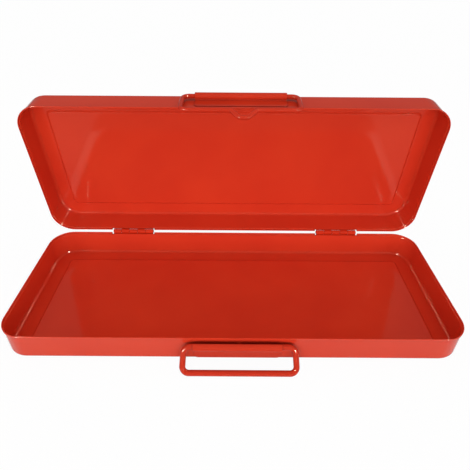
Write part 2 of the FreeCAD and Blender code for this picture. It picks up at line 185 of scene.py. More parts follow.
class LoopSizes(bpy.types.PropertyGroup):
    """Sizes of the carrying handle and the latch bail."""

    off_centre: FloatProperty(name="Off centre", description="Shift of both loops", default=6.5 * MM,
                              unit="LENGTH")
    handle_wire: FloatProperty(name="Handle wire", description="Diameter of the handle's wire",
                               default=5.8 * MM, unit="LENGTH")
    handle_arm: FloatProperty(name="Handle arm", description="Axis to bar of the handle",
                              default=24.4 * MM, unit="LENGTH")
    handle_shoulders: FloatProperty(name="Handle shoulders", description="Width at the axis",
                                    default=104.6 * MM, unit="LENGTH")
    handle_bar: FloatProperty(name="Handle bar", description="Width at the bar", default=107.8 * MM,
                              unit="LENGTH")
    handle_shoulder_bend: FloatProperty(name="Handle shoulder bend", description="Bend radius",
                                        default=7 * MM, unit="LENGTH")
    handle_corner_bend: FloatProperty(name="Handle corner bend", description="Bend radius",
                                      default=6 * MM, unit="LENGTH")
    bail_wire: FloatProperty(name="Bail wire", description="Diameter of the bail's wire",
                             default=4.8 * MM, unit="LENGTH")
    bail_arm: FloatProperty(name="Bail arm", description="Axis to bar of the bail", default=34.2 * MM,
                            unit="LENGTH")
    bail_width: FloatProperty(name="Bail width", description="Width between wire centres",
                              default=119.4 * MM, unit="LENGTH")
    bail_shoulder_bend: FloatProperty(name="Bail shoulder bend", description="Bend radius",
                                      default=7 * MM, unit="LENGTH")
    bail_corner_bend: FloatProperty(name="Bail corner bend", description="Bend radius",
                                    default=6.5 * MM, unit="LENGTH")
    bail_rest: FloatProperty(name="Bail rest", description="Bail's lean away from the lid's wall",
                             default=math.radians(2.5), subtype="ANGLE")
    nose_length: FloatProperty(name="Nose length", description="Length of the bail's nose",
                               default=9.2 * MM, unit="LENGTH")
    nose_tilt: FloatProperty(name="Nose tilt", description="Nose's lean towards the case",
                             default=math.radians(27.5), subtype="ANGLE")
    nose_root: FloatProperty(name="Nose root", description="Width where the nose starts",
                             default=26 * MM, unit="LENGTH")
    nose_tip: FloatProperty(name="Nose tip", description="Width of the nose's tip", default=8 * MM,
                            unit="LENGTH")
    nose_bend: FloatProperty(name="Nose bend", description="Bend radius", default=3.2 * MM, unit="LENGTH")
    nose_off_centre: FloatProperty(name="Nose off centre",
                                   description="Nose to the right of the bail's middle",
                                   default=3.2 * MM, unit="LENGTH")
    end_gap: FloatProperty(name="End gap", description="Gap between the wire's ends in the curl",
                           default=4 * MM, unit="LENGTH")


class EnamelColours(bpy.types.PropertyGroup):
    """Colours of the enamel: on each kind of piece, where the coat is thicker, and the painted shade in the
    gaps.
    """

    trays: FloatVectorProperty(name="Trays", description="Enamel of the trays", size=4,
                               default=linear("#D83B22"), subtype="COLOR")
    trays_deep: FloatVectorProperty(name="Trays, deep", description="Thicker enamel of the trays", size=4,
                                    default=linear("#D23620"), subtype="COLOR")
    # Painted shade: the brackets carry the trays' red enamel made a little darker, standing in for the
    # shading on them.
    brackets: FloatVectorProperty(name="Brackets", description="Enamel of the brackets", size=4,
                                  default=linear("#CD341C"), subtype="COLOR")
    brackets_deep: FloatVectorProperty(name="Brackets, deep", description="Thicker enamel of the brackets",
                                       size=4, default=linear("#C83019"), subtype="COLOR")
    # Painted shade: the handle and bail carry the trays' red enamel made darker, standing in for the shade
    # that their arms and bars show.
    wires: FloatVectorProperty(name="Wires", description="Enamel of the handle and the bail", size=4,
                               default=linear("#C8301A"), subtype="COLOR")
    wires_deep: FloatVectorProperty(name="Wires, deep", description="Thicker enamel of the two wires", size=4,
                                    default=linear("#C42D17"), subtype="COLOR")
    hinges: FloatVectorProperty(name="Hinges", description="Enamel of the hinges", size=4,
                                default=linear("#D43117"), subtype="COLOR")
    hinges_deep: FloatVectorProperty(name="Hinges, deep", description="Thicker enamel of the hinges", size=4,
                                     default=linear("#CD2D15"), subtype="COLOR")
    # Painted shade: the dark red laid into the enamel deep in the gaps, where ambient occlusion finds near
    # neighbours.
    crevice_shade: FloatVectorProperty(name="Crevice", description="Enamel with grime in it, deep in the gaps",
                                 size=4, default=linear("#6A0C06"), subtype="COLOR")
    binder: FloatVectorProperty(name="Binder", description="Baked binder, which yellows the gloss a little",
                                size=4, default=linear("#FFF3D8"), subtype="COLOR")


class StageSizes(bpy.types.PropertyGroup):
    """Camera, table, cards and lamps."""

    camera_place: FloatVectorProperty(name="Camera place", description="Where the lens is", size=3,
                                      default=(-0.0004, -0.3347, 0.3363), subtype="TRANSLATION")
    camera_pitch: FloatProperty(name="Pitch", description="Tilt of the view below the horizon",
                                default=math.radians(34.111), subtype="ANGLE")
    camera_yaw: FloatProperty(name="Yaw", description="Turn of the view to the right",
                              default=math.radians(-0.02), subtype="ANGLE")
    camera_roll: FloatProperty(name="Roll", description="Roll of the view", default=math.radians(-0.363),
                               subtype="ANGLE")
    lens: FloatProperty(name="Lens", description="Focal length in millimetres", default=31.159,
                        unit="CAMERA")
    sensor: FloatProperty(name="Sensor", description="Width of the sensor in millimetres", default=36,
                          unit="CAMERA")
    shift_x: FloatProperty(name="Shift X", description="Sideways shift of the frame", default=0.00451)
    shift_y: FloatProperty(name="Shift Y", description="Upward shift of the frame", default=-0.03548)
    table: FloatProperty(name="Table", description="Half the side of the table", default=3.0, unit="LENGTH")
    card_near: FloatProperty(name="Card near", description="Near edge of the dark card, before the middle",
                             default=0.122, unit="LENGTH")
    card_far: FloatProperty(name="Card far", description="Far edge of the dark card, before the middle",
                            default=1.2, unit="LENGTH")
    card_width: FloatProperty(name="Card width", description="Width of the dark card", default=0.51,
                              unit="LENGTH")
    card_lift: FloatProperty(name="Card lift", description="Height of the cards over the table",
                             default=0.5 * MM, unit="LENGTH")
    dark_card: FloatVectorProperty(name="Dark card", description="Colour of the card in front", size=4,
                                   default=linear("#5A3A30"), subtype="COLOR")
    pale_card: FloatVectorProperty(name="Pale card", description="Colour of the cards at the sides", size=4,
                                   default=linear("#A8A8A8"), subtype="COLOR")
    softbox_place: FloatVectorProperty(name="Softbox place", description="Middle of the front softbox",
                                       size=3, default=(0, -1.4, 0.3), subtype="TRANSLATION")
    softbox_aim: FloatProperty(name="Softbox aim", description="Height that the softbox points at",
                               default=0.12, unit="LENGTH")
    softbox_size: FloatVectorProperty(name="Softbox size", description="Width and height of the softbox",
                                      size=2, default=(1.6, 0.4), unit="LENGTH")
    softbox_power: FloatProperty(name="Softbox power", description="Power of the softbox in watts",
                                 default=11.4, unit="POWER")
    glint_place: FloatVectorProperty(name="Glint place", description="Middle of the right glint lamp",
                                     size=3, default=(1.0, -1.2, 0.8), subtype="TRANSLATION")
    glint_aim: FloatProperty(name="Glint aim", description="Height that the glint lamps point at",
                             default=0.08, unit="LENGTH")
    glint_size: FloatVectorProperty(name="Glint size", description="Width and height of a glint lamp",
                                    size=2, default=(0.3, 0.3), unit="LENGTH")
    glint_power: FloatProperty(name="Glint power", description="Power of a glint lamp in watts", default=40,
                               unit="POWER")


class ToolCaseSettings(bpy.types.PropertyGroup):
    """Everything that can be set, by group."""

    tray: PointerProperty(type=TraySizes)
    hinge: PointerProperty(type=HingeSizes)
    bracket: PointerProperty(type=BracketSizes)
    loop: PointerProperty(type=LoopSizes)
    colours: PointerProperty(type=EnamelColours)
    stage: PointerProperty(type=StageSizes)


def settings():
    """The settings held by the scene."""
    return bpy.context.scene.tool_case


# Places shared by several pieces, all worked out from the sizes.


def lid_rim_z():
    return settings().tray.base_wall + settings().tray.rim_gap


def wall_y():
    """Distance of the front and rear walls' outer faces from the middle."""
    return settings().tray.depth / 2 - settings().tray.rim_step


def knuckle_radius():
    hinge = settings().hinge
    return hinge.pin / 2 + hinge.play + hinge.sheet


def hinge_axis():
    return Vector((0, wall_y() + knuckle_radius(), settings().tray.base_wall + settings().tray.rim_gap / 2))


def curl_radius(wire):
    """Outer radius of the curl round a wire."""
    bracket = settings().bracket
    return wire / 2 + bracket.play + bracket.sheet


def handle_axis():
    height = settings().tray.base_wall - settings().bracket.base_drop
    return Vector((0, -wall_y() - curl_radius(settings().loop.handle_wire), height))


def bail_axis():
    height = lid_rim_z() + settings().bracket.lid_rise
    return Vector((0, -wall_y() - curl_radius(settings().loop.bail_wire), height))


def hinge_centres():
    hinge = settings().hinge
    return {"left": hinge.off_centre - hinge.spacing / 2, "right": hinge.off_centre + hinge.spacing / 2}


def opened():
    """Turn that takes a piece of the lid from shut to the open rest pose."""
    axis = hinge_axis()
    turn = Matrix.Rotation(-settings().tray.open_angle, 4, "X")
    return Matrix.Translation(axis) @ turn @ Matrix.Translation(-axis)


# Meshes.


def mesh_object(name, points, faces, place=None):
    """Object at the origin with its mesh already in place."""
    mesh = bpy.data.meshes.new(name)
    if place is not None:
        points = [place @ Vector(point) for point in points]
    mesh.from_pydata([tuple(point) for point in points], [], faces)
    if mesh.validate():
        raise RuntimeError(name + " has faces that Blender had to mend")
    obj = bpy.data.objects.new(name, mesh)
    bpy.context.scene.collection.objects.link(obj)
    return obj


def smooth_by_area(mesh):
    """Smooth shading in which wide faces stay flat and narrow ones turn the light round a bend."""
    sums = [Vector() for _ in mesh.vertices]
    for face in mesh.polygons:
        face.use_smooth = True
        for index in face.vertices:
            sums[index] += face.normal * face.area
    mesh.normals_split_custom_set_from_vertices([total.normalized() for total in sums])


def merged(name, parts):
    """One mesh object from several, which are removed."""
    points = []
    faces = []
    for part in parts:
        first = len(points)
        points.extend(part.matrix_world @ vertex.co for vertex in part.data.vertices)
        faces.extend([first + index for index in face.vertices] for face in part.data.polygons)
        old = part.data
        bpy.data.objects.remove(part)
        bpy.data.meshes.remove(old)
    return mesh_object(name, points, faces)


def tube_faces(rows, width, left_open=()):
    """Faces between closed rings of points, apart from those left open, and one over each end."""
    faces = []
    for row in range(rows - 1):
        for column in range(width):
            if (row, column) in left_open:
                continue
            after = (column + 1) % width
            faces.append([row * width + column, row * width + after, (row + 1) * width + after,
                          (row + 1) * width + column])
    last = (rows - 1) * width
    faces.append(list(range(width))[::-1])
    faces.append([last + column for column in range(width)])
    return faces


def arc_steps(angle):
    return max(2, math.ceil(abs(math.degrees(angle)) / ARC_STEP_DEGREES))


def arc_points(centre, radius, start, end):
    """Points along an arc in a plane, both ends included."""
    steps = arc_steps(end - start)
    points = []
    for step in range(steps + 1):
        angle = start + (end - start) * step / steps
        points.append((centre[0] + radius * math.cos(angle), centre[1] + radius * math.sin(angle)))
    return points


# Trays.


def skin_profile(rim_z, offset):
    """One skin of a tray from its middle to just below the rim's edge.

    Each row is inset, height and the inset that it has along the hinge notches, where the rim isn't stepped.
    """
    tray = settings().tray
    wall_inset = tray.rim_step + offset
    band_z = rim_z - tray.rim_band
    joggle_z = band_z - tray.joggle
    bend = tray.bend + FACET_SLACK - offset
    top = tray.panel_border + tray.panel_slope
    rows = [(top + tray.panel_slope, offset + tray.panel_rise)]
    for step in range(EASE_STEPS + 1):
        share = step / EASE_STEPS
        rows.append((top - tray.panel_slope * share, offset + tray.panel_rise * eased(1 - share)))
    rows.append((tray.panel_border - tray.panel_slope, offset))
    rows += arc_points((wall_inset + bend, offset + bend), bend, math.radians(270), math.radians(180))
    profile = [(inset, z, inset) for inset, z in rows]
    for step in range(EASE_STEPS + 1):
        share = step / EASE_STEPS
        inset = wall_inset - tray.rim_step * eased(share)
        profile.append((inset, joggle_z + tray.joggle * share, wall_inset))
    profile.append((offset, rim_z - settings().hinge.notch_depth, wall_inset))
    profile.append((offset, rim_z - 2 * tray.edge, wall_inset))
    return profile


def eased(share):
    """Share from 0 to 1 that starts and ends level."""
    return share * share * (3 - 2 * share)


def tray_profile(rim_z):
    """Section of a tray from the outer middle round the rim to the inner middle."""
    tray = settings().tray
    outer = skin_profile(rim_z, 0)
    inner = skin_profile(rim_z, tray.sheet)
    rows = arc_points((tray.edge, rim_z - tray.edge), tray.edge, math.radians(180), math.radians(90))
    rows += arc_points((tray.sheet - tray.edge, rim_z - tray.edge), tray.edge, math.radians(90), 0)
    rim = [(inset, z, inset + tray.rim_step) for inset, z in rows]
    return outer + rim + inner[::-1]


def tray_columns():
    """Columns of a tray's mesh.

    Each is its corner's two signs, a direction round the corner, a fixed X on the rear side, and if it is
    in a notch.
    """
    steps = arc_steps(math.radians(90))
    signs = [(1, 1), (-1, 1), (-1, -1), (1, -1)]
    columns = []
    for quarter, (sign_x, sign_y) in enumerate(signs):
        for step in range(steps + 1):
            angle = math.radians(90) * (quarter + step / steps)
            columns.append((sign_x, sign_y, math.cos(angle), math.sin(angle), None, False))
        if quarter == 0:
            columns += [(0, 1, 0, 1, x, inside) for x, inside in notch_columns()]
    return columns


def notch_columns():
    """X of the columns at the hinge notches from right to left, and if the rim is unstepped there."""
    half = settings().hinge.length / 2 + settings().hinge.notch_play
    blend = settings().tray.edge
    places = []
    for centre in sorted(hinge_centres().values(), reverse=True):
        places += [(centre + half + blend, False), (centre + half, True)]
        places += [(centre - half, True), (centre - half - blend, False)]
    return places


def ring(inset, z, notch_inset, columns):
    """One loop of a tray's mesh at an inset from the rim."""
    tray = settings().tray
    half_x = tray.length / 2 - inset
    half_y = tray.depth / 2 - inset
    in_panel = inset >= tray.panel_border - tray.panel_slope
    corner = tray.panel_corner + tray.panel_border - inset if in_panel else tray.corner - inset
    corner = max(corner, tray.edge)
    points = []
    for sign_x, sign_y, along_x, along_y, fixed_x, in_notch in columns:
        if fixed_x is None:
            x = sign_x * (half_x - corner) + corner * along_x
            y = sign_y * (half_y - corner) + corner * along_y
            points.append((x, y, z))
        else:
            points.append((fixed_x, tray.depth / 2 - (notch_inset if in_notch else inset), z))
    return points


def tray_mesh(name, rim_z, place):
    """Pressed tray with the hinge notches cut out of its rear rim."""
    profile = tray_profile(rim_z)
    columns = tray_columns()
    width = len(columns)
    points = []
    for inset, z, notch_inset in profile:
        points.extend(ring(inset, z, notch_inset, columns))
    notch_z = rim_z - settings().hinge.notch_depth
    cut = [row for row, (_, z, _) in enumerate(profile) if z >= notch_z - settings().tray.edge / 2]
    first_cut = cut[0]
    last_cut = cut[-1]
    inside = [index for index, column in enumerate(columns) if column[5]]
    notches = [(inside[0], inside[1]), (inside[2], inside[3])]
    left_open = {(row, start) for start, _ in notches for row in range(first_cut, last_cut)}
    faces = tube_faces(len(profile), width, left_open)
    # Three faces close a notch: its floor and its two ends.
    for start, end in notches:
        faces.append([first_cut * width + start, first_cut * width + end, last_cut * width + end,
                      last_cut * width + start])
        faces.append([row * width + start for row in range(last_cut, first_cut - 1, -1)])
        faces.append([row * width + end for row in range(first_cut, last_cut + 1)])
    obj = mesh_object(name, points, faces, place)
    facing_out(obj)
    return obj


# Folded strips: brackets and hinge leaves.


def strip_mesh(name, path, thicknesses, half_widths, edge, place):
    """Strip of sheet along a path in the YZ plane, its edges softened by enamel."""
    section = []
    for sign_x, sign_t, start in ((1, 1, 0), (-1, 1, 90), (-1, -1, 180), (1, -1, 270)):
        for x, t in arc_points((0, 0), edge, math.radians(start), math.radians(start + 90)):
            section.append((sign_x, x, sign_t, t))
    points = []
    count = len(path)
    for index, (y, z) in enumerate(path):
        before = path[max(index - 1, 0)]
        after = path[min(index + 1, count - 1)]
        length = math.hypot(after[0] - before[0], after[1] - before[1])
        normal = ((after[1] - before[1]) / length, -(after[0] - before[0]) / length)
        half = half_widths[index] - edge
        for sign_x, x, sign_t, t in section:
            rise = sign_t * (thicknesses[index] / 2 - edge) + t
            points.append((sign_x * half + x, y + normal[0] * rise, z + normal[1] * rise))
    obj = mesh_object(name, points, tube_faces(count, len(section)), place)
    facing_out(obj)
    return obj


def facing_out(obj):
    """Turns every face of a closed mesh outwards."""
    work = bmesh.new()
    work.from_mesh(obj.data)
    bmesh.ops.recalc_face_normals(work, faces=work.faces)
    work.to_mesh(obj.data)
    work.free()
    smooth_by_area(obj.data)


def plate_end_rows(half, plate_height, middle, corner):
    """Path up the rounded corners at a plate's end, and half the plate's width at each point."""
    path = []
    halves = []
    steps = arc_steps(math.radians(90))
    for step in range(steps + 1):
        angle = math.radians(90) * step / steps
        path.append((middle, corner * (1 - math.cos(angle)) - plate_height))
        halves.append(half - corner * (1 - math.sin(angle)))
    return path, halves


def wrapped_strip(name, length, plate_height, wire, corner, place):
    """Plate that bends forwards at its top and wraps the X axis from underneath, round front and top."""
    bracket = settings().bracket
    middle = wire / 2 + bracket.play + bracket.sheet / 2 - FACET_SLACK
    bend = bracket.bend + bracket.sheet / 2
    # The bend's circle touches the plate and the curl's circle.
    bend_centre = (middle - bend, -2 * math.sqrt(middle * bend))
    turn = math.acos((bend - middle) / (bend + middle))
    path, halves = plate_end_rows(length / 2, plate_height, middle, corner)
    path += arc_points(bend_centre, bend, 0, turn)
    path += arc_points((0, 0), middle, math.pi + turn, bracket.seam)[1:]
    halves += [length / 2] * (len(path) - len(halves))
    return strip_mesh(name, path, [bracket.sheet] * len(path), halves, settings().tray.edge, place)


def base_bracket_mesh():
    bracket = settings().bracket
    axis = handle_axis()
    place = Matrix.Translation(axis + Vector((bracket.base_off_centre, 0, 0)))
    return wrapped_strip("base_bracket", bracket.base_length, axis.z - bracket.base_end_lift,
                         settings().loop.handle_wire, bracket.base_corner, place)


def lid_bracket_mesh():
    bracket = settings().bracket
    tray = settings().tray
    axis = bail_axis()
    end_z = lid_rim_z() + tray.rim_band + tray.joggle + bracket.lid_end_gap
    place = opened() @ Matrix.Translation(axis + Vector((bracket.lid_off_centre, 0, 0)))
    return wrapped_strip("lid_bracket", bracket.lid_length, axis.z - end_z, settings().loop.bail_wire,
                         bracket.lid_corner, place)


# Geometry nodes: the bent wires and the rows of knuckles.


def new_tree(name, inputs):
    """Empty geometry tree with a geometry socket each way and named inputs."""
    tree = bpy.data.node_groups.new(name, "GeometryNodeTree")
    tree.interface.new_socket(name="Geometry", in_out="INPUT", socket_type="NodeSocketGeometry")
    for label, kind in inputs:
        tree.interface.new_socket(name=label, in_out="INPUT", socket_type=kind)
    tree.interface.new_socket(name="Geometry", in_out="OUTPUT", socket_type="NodeSocketGeometry")
    return tree


def add_node(tree, kind, values=None, links=None, **fields):
    """New node with its settings, its input values and the sockets linked into it."""
    node = tree.nodes.new(kind)
    for field, value in fields.items():
        setattr(node, field, value)
    for socket, value in (values or {}).items():
        node.inputs[socket].default_value = value
    for socket, source in (links or {}).items():
        tree.links.new(source, node.inputs[socket])
    return node


def wire_tree():
    """Rounds the corners of a path and sweeps a round wire along it."""
    tree = new_tree("Bent wire", [("Wire radius", "NodeSocketFloat"), ("Sides", "NodeSocketInt"),
                                  ("Bend points", "NodeSocketInt"), ("Material", "NodeSocketMaterial")])
    given = add_node(tree, "NodeGroupInput").outputs
    curve = add_node(tree, "GeometryNodeMeshToCurve", links={"Mesh": given["Geometry"]})
    bend = add_node(tree, "GeometryNodeInputNamedAttribute", {"Name": "bend_radius"}, data_type="FLOAT")
    rounded = add_node(tree, "GeometryNodeFilletCurve",
                       links={"Curve": curve.outputs["Curve"], "Radius": bend.outputs["Attribute"],
                              "Count": given["Bend points"]}, mode="POLY")
    circle = add_node(tree, "GeometryNodeCurvePrimitiveCircle",
                      links={"Resolution": given["Sides"], "Radius": given["Wire radius"]}, mode="RADIUS")
    swept = add_node(tree, "GeometryNodeCurveToMesh", {"Fill Caps": True},
                     {"Curve": rounded.outputs["Curve"], "Profile Curve": circle.outputs["Curve"]})
    whole = add_node(tree, "GeometryNodeRealizeInstances", links={"Geometry": swept.outputs["Mesh"]})
    painted = add_node(tree, "GeometryNodeSetMaterial",
                       links={"Geometry": whole.outputs["Geometry"], "Material": given["Material"]})
    add_node(tree, "NodeGroupOutput", links={"Geometry": painted.outputs["Geometry"]})
    return tree


def row_tree():
    """Repeats a piece at an even pitch along X."""
    tree = new_tree("Knuckle row", [("Count", "NodeSocketInt"), ("Start", "NodeSocketFloat"),
                                    ("Pitch", "NodeSocketFloat"), ("Material", "NodeSocketMaterial")])
    given = add_node(tree, "NodeGroupInput").outputs
    start = add_node(tree, "ShaderNodeCombineXYZ", links={"X": given["Start"]})
    pitch = add_node(tree, "ShaderNodeCombineXYZ", links={"X": given["Pitch"]})
    line = add_node(tree, "GeometryNodeMeshLine",
                    links={"Count": given["Count"], "Start Location": start.outputs["Vector"],
                           "Offset": pitch.outputs["Vector"]}, mode="OFFSET")
    copies = add_node(tree, "GeometryNodeInstanceOnPoints",
                      links={"Points": line.outputs["Mesh"], "Instance": given["Geometry"]})
    whole = add_node(tree, "GeometryNodeRealizeInstances", links={"Geometry": copies.outputs["Instances"]})
    painted = add_node(tree, "GeometryNodeSetMaterial",
                       links={"Geometry": whole.outputs["Geometry"], "Material": given["Material"]})
    add_node(tree, "NodeGroupOutput", links={"Geometry": painted.outputs["Geometry"]})
    return tree


def run_tree(obj, tree, values):
    """Replaces obj's mesh by what the tree makes of it."""
    modifier = obj.modifiers.new(tree.name, "NODES")
    modifier.node_group = tree
    for item in tree.interface.items_tree:
        if item.in_out == "INPUT" and item.name in values:
            modifier[item.identifier] = values[item.name]
    seen = obj.evaluated_get(bpy.context.evaluated_depsgraph_get())
    made = bpy.data.meshes.new_from_object(seen)
    obj.modifiers.remove(modifier)
    old = obj.data
    obj.data = made
    bpy.data.meshes.remove(old)
    if not made.polygons:
        raise RuntimeError(tree.name + " made nothing of " + obj.name)
    return obj


def bent_wire(name, corners, bends, diameter, place, material):
    """Round wire through corners, bent to the given radii."""
    mesh = bpy.data.meshes.new(name)
    edges = [(index, index + 1) for index in range(len(corners) - 1)]
    mesh.from_pydata([place @ Vector(corner) for corner in corners], edges, [])
    attribute = mesh.attributes.new("bend_radius", "FLOAT", "POINT")
    attribute.data.foreach_set("value", bends)
    obj = bpy.data.objects.new(name, mesh)
    bpy.context.scene.collection.objects.link(obj)
    run_tree(obj, wire_tree(), {"Wire radius": diameter / 2 - FACET_SLACK, "Sides": WIRE_SIDES,
                                "Bend points": WIRE_BEND_POINTS, "Material": material})
    facing_out(obj)
    return obj


def handle_mesh(material):
    loop = settings().loop
    axis = handle_axis()
    lean = math.acos((axis.z - loop.handle_wire / 2) / loop.handle_arm)
    end = loop.end_gap / 2
    shoulder = loop.handle_shoulders / 2
    bar = loop.handle_bar / 2
    half = [(end, 0, 0), (shoulder, 0, 0), (bar, 0, -loop.handle_arm)]
    bends = [0, loop.handle_shoulder_bend, loop.handle_corner_bend]
    corners = [(-x, y, z) for x, y, z in half] + half[::-1]
    place = Matrix.Translation(axis + Vector((loop.off_centre, 0, 0))) @ Matrix.Rotation(-lean, 4, "X")
    return bent_wire("handle", corners, bends + bends[::-1], loop.handle_wire, place, material)


def bail_mesh(material):
    loop = settings().loop
    arm = loop.bail_arm
    half = loop.bail_width / 2
    end = loop.end_gap / 2
    root = loop.nose_root / 2
    tip = loop.nose_tip / 2
    nose_x = loop.nose_off_centre
    inwards = loop.nose_length * math.sin(loop.nose_tilt)
    down = loop.nose_length * math.cos(loop.nose_tilt)
    corners = [
        (-end, 0, 0),
        (-half, 0, 0),
        (-half, 0, -arm),
        (nose_x - root, 0, -arm),
        (nose_x - tip, inwards, -arm - down),
        (nose_x + tip, inwards, -arm - down),
        (nose_x + root, 0, -arm),
        (half, 0, -arm),
        (half, 0, 0),
        (end, 0, 0),
    ]
    nose_bends = [loop.nose_bend] * 4
    bends = [0, loop.bail_shoulder_bend, loop.bail_corner_bend] + nose_bends
    bends += [loop.bail_corner_bend, loop.bail_shoulder_bend, 0]
    place = opened() @ Matrix.Translation(bail_axis() + Vector((loop.off_centre, 0, 0)))
    place = place @ Matrix.Rotation(-loop.bail_rest, 4, "X")
    return bent_wire("bail", corners, bends, loop.bail_wire, place, material)


# Hinges.


def leaf_top():
    """Height where a leaf's plate ends under the other leaf's knuckles, from the pin's axis."""
    hinge = settings().hinge
    near = hinge.pin / 2 + hinge.play
    return -math.sqrt((knuckle_radius() + hinge.relief) ** 2 - near ** 2)


def hollowed_top():
    """Rows up a leaf's hollowed top edge: its middle, its thickness and its height."""
    hinge = settings().hinge
    reach = knuckle_radius() + hinge.relief
    near = hinge.pin / 2 + hinge.play
    # The top is left thick enough for the rounding of both its edges.
    crest = 3 * hinge.leaf_edge
    rows = []
    for step in range(HOLLOW_STEPS + 1):
        hollow = near + (hinge.sheet - crest) * step / HOLLOW_STEPS
        middle = (knuckle_radius() + hollow) / 2
        rows.append((middle, knuckle_radius() - hollow, -math.sqrt(reach ** 2 - hollow ** 2)))
    return rows


def knuckle_mesh(length):
    """One knuckle, curled round the X axis, with the stub of the plate it is rolled from."""
    hinge = settings().hinge
    inner = hinge.pin / 2 + hinge.play
    middle = inner + hinge.sheet / 2
    path = [(middle, leaf_top() - hinge.gap)]
    path += arc_points((0, 0), middle, 0, hinge.wrap)
    count = len(path)
    edge = settings().tray.edge / 2
    return strip_mesh("knuckle", path, [hinge.sheet] * count, [length / 2] * count, edge, None)


def leaf_mesh(name, parity, place, material):
    """Leaf plate with knuckles on every second place, wall side towards minus Y."""
    hinge = settings().hinge
    pitch = (hinge.length + hinge.gap) / hinge.knuckles
    knuckle = pitch - hinge.gap
    middle = hinge.pin / 2 + hinge.play + hinge.sheet / 2
    path, halves = plate_end_rows(hinge.length / 2, hinge.leaf, middle, hinge.leaf_corner)
    thicknesses = [hinge.sheet] * len(path)
    for y, thickness, z in hollowed_top():
        path.append((y, z))
        halves.append(hinge.length / 2)
        thicknesses.append(thickness)
    plate = strip_mesh(name + "_plate", path, thicknesses, halves, hinge.leaf_edge, None)
    count = (hinge.knuckles + 1 - parity) // 2
    start = -hinge.length / 2 + knuckle / 2 + parity * pitch
    row = run_tree(knuckle_mesh(knuckle), row_tree(),
                   {"Count": count, "Start": start, "Pitch": 2 * pitch, "Material": material})
    leaf = merged(name, [plate, row])
    leaf.data.transform(place)
    smooth_by_area(leaf.data)
    return leaf


def pin_mesh(name, centre):
    """Hinge pin with softened ends."""
    hinge = settings().hinge
    radius = hinge.pin / 2
    half = hinge.length / 2 + hinge.overhang
    soft = hinge.overhang / 2
    rounding = [(soft * math.cos(angle), soft * math.sin(angle)) for angle in PIN_END_ANGLES]
    profile = [(-half, radius - soft)]
    profile += [(soft - half - along, radius - soft + out) for along, out in rounding]
    profile += [(soft - half, radius), (half - soft, radius)]
    profile += [(half - soft + along, radius - soft + out) for along, out in rounding[::-1]]
    profile += [(half, radius - soft)]
    axis = hinge_axis()
    points = []
    for x, distance in profile:
        for side in range(PIN_SIDES):
            angle = math.tau * side / PIN_SIDES
            y = axis.y + distance * math.cos(angle)
            points.append((centre + x, y, axis.z + distance * math.sin(angle)))
    obj = mesh_object(name, points, tube_faces(len(profile), PIN_SIDES))
    facing_out(obj)
    return obj


# Stove enamel.


def noise(tree, place, size, detail=2.0):
    """Noise whose patches are about the given size in metres."""
    return add_node(tree, "ShaderNodeTexNoise", {"Scale": 1 / size, "Detail": detail}, {"Vector": place})


def spread(tree, source, low, high):
    """Noise turned into a value from low to high."""
    return add_node(tree, "ShaderNodeMapRange",
                    {"From Min": NOISE_LOW, "From Max": NOISE_HIGH, "To Min": low, "To Max": high},
                    {"Value": source}).outputs["Result"]


def stove_enamel(name, kind, wave_depth, seed):
    """Gloss stove enamel over pressed steel: a deep red that stays wet-looking, with faint orange peel."""
    colours = settings().colours
    base = getattr(colours, kind)
    deep = getattr(colours, kind + "_deep")
    material = bpy.data.materials.new(name)
    material.use_nodes = True
    tree = material.node_tree
    tree.nodes.clear()
    place = add_node(tree, "ShaderNodeTexCoord").outputs["Object"]
    moved = add_node(tree, "ShaderNodeMapping", {"Location": (seed, seed / 3, -seed / 2)},
                     {"Vector": place}).outputs["Vector"]
    clouds = noise(tree, moved, CLOUDS)
    tint = add_node(tree, "ShaderNodeMix", {"A": base, "B": deep},
                    {"Factor": spread(tree, clouds.outputs["Fac"], 0.0, 1.0)}, data_type="RGBA")
    # Painted shade: the enamel turns towards the dark crevice shade colour wherever ambient occlusion finds a
    # neighbour within reach.
    crevice_shade = add_node(tree, "ShaderNodeAmbientOcclusion", {"Distance": CREVICE_SHADE_REACH})
    tint = add_node(tree, "ShaderNodeMix", {"A": colours.crevice_shade},
                    {"Factor": crevice_shade.outputs["AO"], "B": tint.outputs["Result"]}, data_type="RGBA")
    smears = noise(tree, moved, SMEARS, detail=4.0)
    gloss = spread(tree, smears.outputs["Fac"], SMOOTHEST, DULLEST)
    peel = noise(tree, moved, PEEL, detail=1.0)
    waves = noise(tree, moved, WAVES, detail=0.0)
    wavy = add_node(tree, "ShaderNodeBump", {"Strength": 1.0, "Distance": wave_depth},
                    {"Height": waves.outputs["Fac"]})
    rough = add_node(tree, "ShaderNodeBump", {"Strength": 1.0, "Distance": PEEL_DEPTH},
                     {"Height": peel.outputs["Fac"], "Normal": wavy.outputs["Normal"]})
    surface = add_node(tree, "ShaderNodeBsdfPrincipled", {"IOR": 1.5, "Specular Tint": colours.binder},
                       {"Base Color": tint.outputs["Result"], "Roughness": gloss,
                        "Normal": rough.outputs["Normal"]})
    add_node(tree, "ShaderNodeOutputMaterial", links={"Surface": surface.outputs["BSDF"]})
    return material


def finish_piece(obj, body, nodes, material):
    """Gives a piece its enamel and hangs it on its body in place of the CAD nodes."""
    obj.data.materials.clear()
    obj.data.materials.append(material)
    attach(obj, body)
    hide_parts(*nodes)


